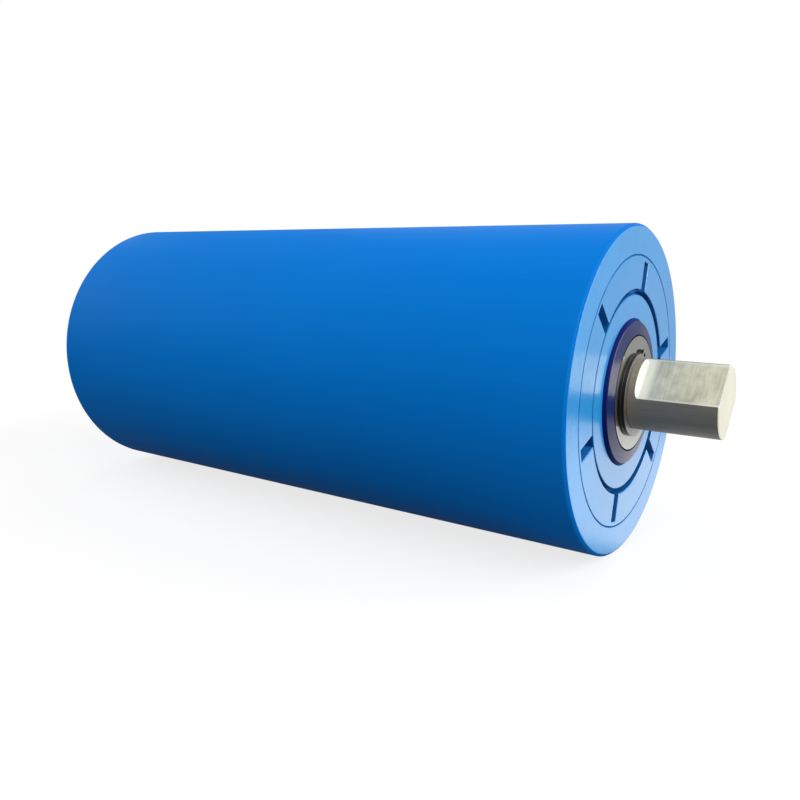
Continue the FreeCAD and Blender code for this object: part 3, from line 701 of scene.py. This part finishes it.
def shaftFinish(bar):
    # The drawn round is dull, dark and streaked along X. The flats are paler, with the cutter's passes and
    # scuffs. The end faces, the shoulders with the cutter's run-out and the flats' long edges are brightest,
    # with a pale tone that is painted highlight. A cut place lies past the shoulder and inside the bar's
    # radius.
    finish = bar["finish"]
    material, tree, shader, place = newFinish("drawnShaftSteel")
    fromMiddle, fromAxis = middleDistance(tree, place), axisDistance(tree, place)
    roundFrom = (bar["radius"] - finish["roundSkin"]) * perMillimetre
    cutFrom = (bar["shoulder"] - finish["shoulderSkin"]) * perMillimetre
    inside = addMath(tree, "LESS_THAN", fromAxis, roundFrom)
    cut = addMath(tree, "MULTIPLY", inside, addMath(tree, "GREATER_THAN", fromMiddle, cutFrom))
    streaks = noise(tree, place, finish["streakStretch"], finish["streaks"])
    stain = noise(tree, place, evenly, finish["stain"], finish["stainDetail"])
    passes = noise(tree, place, finish["passStretch"], finish["passes"], finish["passDetail"])
    scuffs = noise(tree, place, evenly, finish["scuffs"], finish["scuffDetail"])

    # how far a place takes the painted highlight: on the run-out, whose end is ragged, on a flat's long edge
    # and on the end face
    wander = addMath(tree, "SUBTRACT", scuffs, 0.5)
    ragged = addMath(tree, "MULTIPLY", wander, finish["ragged"] * perMillimetre)
    run = [(bar["shoulder"] + reach) * perMillimetre for reach in finish["brightRun"]]
    onRoot = between(tree, addMath(tree, "ADD", fromMiddle, ragged), 1.0, 0.0, *run)
    edge = [reach * perMillimetre for reach in finish["brightEdge"]]
    onEdge = between(tree, fromAxis, 0.0, finish["edgeShare"], *edge)
    tipFrom = (bar["tip"] - bar["edge"] * finish["tipShare"]) * perMillimetre
    onTip = addMath(tree, "GREATER_THAN", fromMiddle, tipFrom)
    onFace = addMath(tree, "MAXIMUM", addMath(tree, "MAXIMUM", onRoot, onEdge), onTip)

    drawnMix = weighted(tree, *zip((streaks, stain), finish["drawnShares"]))
    milledMix = weighted(tree, *zip((scuffs, stain, passes), finish["milledShares"]))
    drawn = tone(tree, drawnMix, *finish["drawn"])
    milled = tone(tree, milledMix, *finish["milled"], *finish["milledRamp"])
    # the run-out, the flats' long edges and the tip take a pale, less metallic tone that is painted highlight
    cutColour = mixColour(tree, onFace, milled, tone(tree, stain, *finish["paintedHighlight"]))
    cutMetal = between(tree, onFace, 1.0, finish["facedMetal"], 0.0, 1.0)
    drawnRough = between(tree, stain, *finish["drawnRough"])
    milledRough = between(tree, milledMix, *finish["milledRough"])
    marks = mixValue(tree, cut, streaks, passes)
    fillInputs(tree, shader, {
        "Base Color": mixColour(tree, cut, drawn, cutColour),
        "Metallic": mixValue(tree, cut, finish["drawnMetal"], cutMetal),
        "Roughness": mixValue(tree, cut, drawnRough, milledRough),
        "Normal": bump(tree, marks, finish["markDepth"], finish["markRelief"]),
    })
    return material


def makeShaft(bar):
    # The section from pole to pole gives a radius for each place along X. Past the shoulder a column at turn
    # t from a flat's middle reaches at most flat / cos t, and a root with a radius of its own lifts the flat
    # at the shoulder.
    radius, tip, edge, shoulder = bar["radius"], bar["tip"], bar["edge"], bar["shoulder"]
    groove, wall = bar["grooveRadius"], bar["grooveWall"]
    half = [(0.0, radius)]
    for start, stop in bar["grooves"]:
        half += [(start - wall, radius), (start, groove), (stop, groove), (stop + wall, radius)]
    rootRows = shoulder + bar["root"] * (1 - np.cos(np.radians(bar["rootTurns"])))
    half += [(shoulder - bar["shoulderWall"], radius)] + [(spot, radius) for spot in rootRows]
    half += [(tip - edge - bar["tailRing"], radius), (tip - edge, radius)]
    half += [(tip - bar["tipStep"], radius - edge), (tip, radius - edge - bar["edgeEase"])]
    half += [(tip, ring) for ring in bar["tipRings"]]
    half = np.array(half)
    section = np.concatenate([half[::-1] * (-1, 1), half[1:]])
    reach = np.degrees(np.arccos(bar["flat"] / radius))
    quarter = np.concatenate([np.linspace(0, reach, bar["flatColumns"]),
                              np.linspace(reach, 90, bar["roundColumns"])[1:]])
    quarter = np.concatenate([quarter, 180 - quarter[-2::-1]])
    turns = np.radians(np.concatenate([quarter, quarter[1:-1] + 180]))
    along, across = section[:, :1], section[:, 1:]
    depth = np.clip(np.abs(along) - shoulder, 0, bar["root"])
    lift = bar["root"] - np.sqrt(bar["root"] ** 2 - (bar["root"] - depth) ** 2)
    limit = np.where(np.abs(along) < shoulder - 1e-4, radius * 2, bar["flat"] + lift)
    reached = np.minimum(across, limit / np.maximum(np.abs(np.cos(turns)), 1e-6))
    points, faces = ringSurface(along, reached, turns[None] + np.radians(bar["flatTurn"]))
    faces = faces[:-len(turns)]  # the section is open, from pole to pole
    addPiece("shaftBar", (points, faces), "shaft", "shaft", [shaftFinish(bar)], bar["sharp"])


makeShaft(shaftBar)

# Pieces that keep their CAD shape: the bearings, the inner seals and the retaining rings
innerSteels = {
    "bearing": {"dark": (0.5, 0.5, 0.5), "bright": (0.66, 0.66, 0.66), "stain": 50.0,
                "marks": 3500.0, "turned": True, "markDepth": 0.00001, "roughness": (0.14, 0.24)},
    "ball": {"dark": (0.66, 0.66, 0.67), "bright": (0.76, 0.76, 0.77), "stain": 300.0,
             "marks": 900.0, "turned": False, "markDepth": 0.000004, "roughness": (0.06, 0.12)},
    "shield": {"dark": (0.5, 0.5, 0.5), "bright": (0.66, 0.66, 0.65), "stain": 90.0,
               "marks": 1800.0, "turned": True, "markDepth": 0.00002, "roughness": (0.26, 0.38)},
    "cage": {"dark": (0.4, 0.39, 0.37), "bright": (0.56, 0.55, 0.53), "stain": 160.0,
             "marks": 1200.0, "turned": False, "markDepth": 0.00002, "roughness": (0.3, 0.44)},
    # the clip's rim is dark with painted shade
    "clip": {"dark": (0.39, 0.39, 0.38), "bright": (0.585, 0.585, 0.57), "stain": 220.0,
             "marks": 1600.0, "turned": True, "markDepth": 0.00002, "roughness": (0.3, 0.44),
             "paintedRimShade": ((0.02, 0.02, 0.025), (0.05, 0.05, 0.055)), "rimSpan": (152.03, 153.47)},
}
sealRubber = {
    "deep": (0.012, 0.012, 0.012), "light": (0.026, 0.026, 0.026), "mottle": 90.0,
    "marks": 1500.0, "turned": True, "markDepth": 0.00003, "grain": 2200.0, "grainDepth": 0.00004,
    "roughness": (0.55, 0.7), "specular": 0.4,
}


def dressFrame():
    # a node's name starts with the kind of piece that it is
    steels = {name: steelFinish(f"{name}Steel", finish) for name, finish in innerSteels.items()}
    finishes = {
        "bearing_outer_ring": steels["bearing"], "bearing_inner_ring": steels["bearing"],
        "bearing_shield": steels["shield"], "ball": steels["ball"], "cage": steels["cage"],
        "outer_clip": steels["clip"], "inner_clip": steels["clip"],
        "labyrinth_shaft_ring": sealNavy, "back_seal": polymerFinish("sealRubber", sealRubber),
    }
    for name, node in nodes.items():
        for start, finish in finishes.items():
            if name.startswith(start):
                node.data.materials.clear()
                node.data.materials.append(finish)
    print("CAD pieces dressed")


dressFrame()
